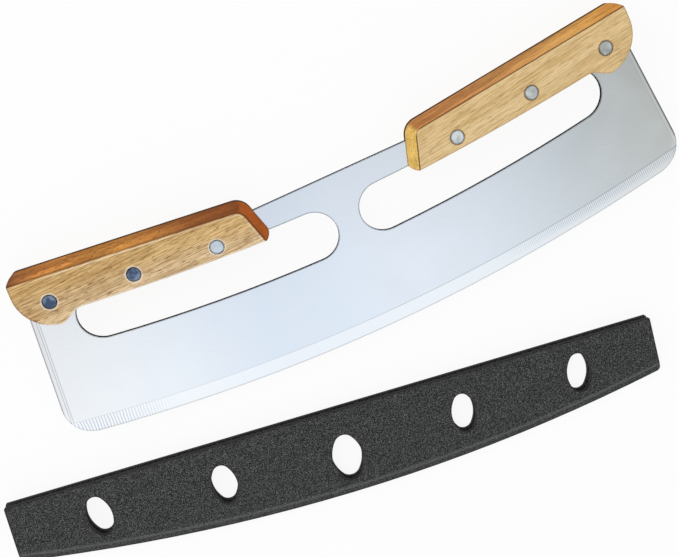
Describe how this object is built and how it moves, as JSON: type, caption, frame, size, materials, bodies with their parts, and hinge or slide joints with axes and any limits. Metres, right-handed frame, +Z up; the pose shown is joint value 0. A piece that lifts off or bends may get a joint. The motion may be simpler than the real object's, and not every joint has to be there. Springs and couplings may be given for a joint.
{
  "type": "rocking pizza knife",
  "caption": "Long curved rocking blade with a full tang, a riveted wooden grip at each end, finger slots and a slotted edge guard taken off beside it.",
  "frame": {"origin": "centre of the bounding box, on the surface that the knife and its guard lie on", "axes": "+Z up, +X along the blade to the right seen from the front, +Y from the cutting edge to the handles"},
  "size_m": [0.4144, 0.2046, 0.0225],
  "materials": {
    "blade_steel": "satin ground",
    "handle_wood": "oiled, sanded smooth",
    "rivet_steel": "polished",
    "guard_plastic": "matte, fine moulded texture"
  },
  "bodies": {
    "knife": {"blade": "blade_steel", "left_front_scale": "handle_wood", "left_rear_scale": "handle_wood", "right_front_scale": "handle_wood", "right_rear_scale": "handle_wood", "left_outer_rivet_pin": "rivet_steel", "left_outer_rivet_washer": "rivet_steel", "left_middle_rivet_pin": "rivet_steel", "left_middle_rivet_washer": "rivet_steel", "left_inner_rivet_pin": "rivet_steel", "left_inner_rivet_washer": "rivet_steel", "right_outer_rivet_pin": "rivet_steel", "right_outer_rivet_washer": "rivet_steel", "right_middle_rivet_pin": "rivet_steel", "right_middle_rivet_washer": "rivet_steel", "right_inner_rivet_pin": "rivet_steel", "right_inner_rivet_washer": "rivet_steel"},
    "guard": {"edge_guard": "guard_plastic"}
  },
  "joints": [
    {"name": "guard_swing", "type": "hinge", "parent": "knife", "child": "guard", "pos_m": [-0.48737, 0.30169, 0.02094], "axis": [0, -0.0443, 0.999], "range_deg": [0, 9.2]}
  ]
}
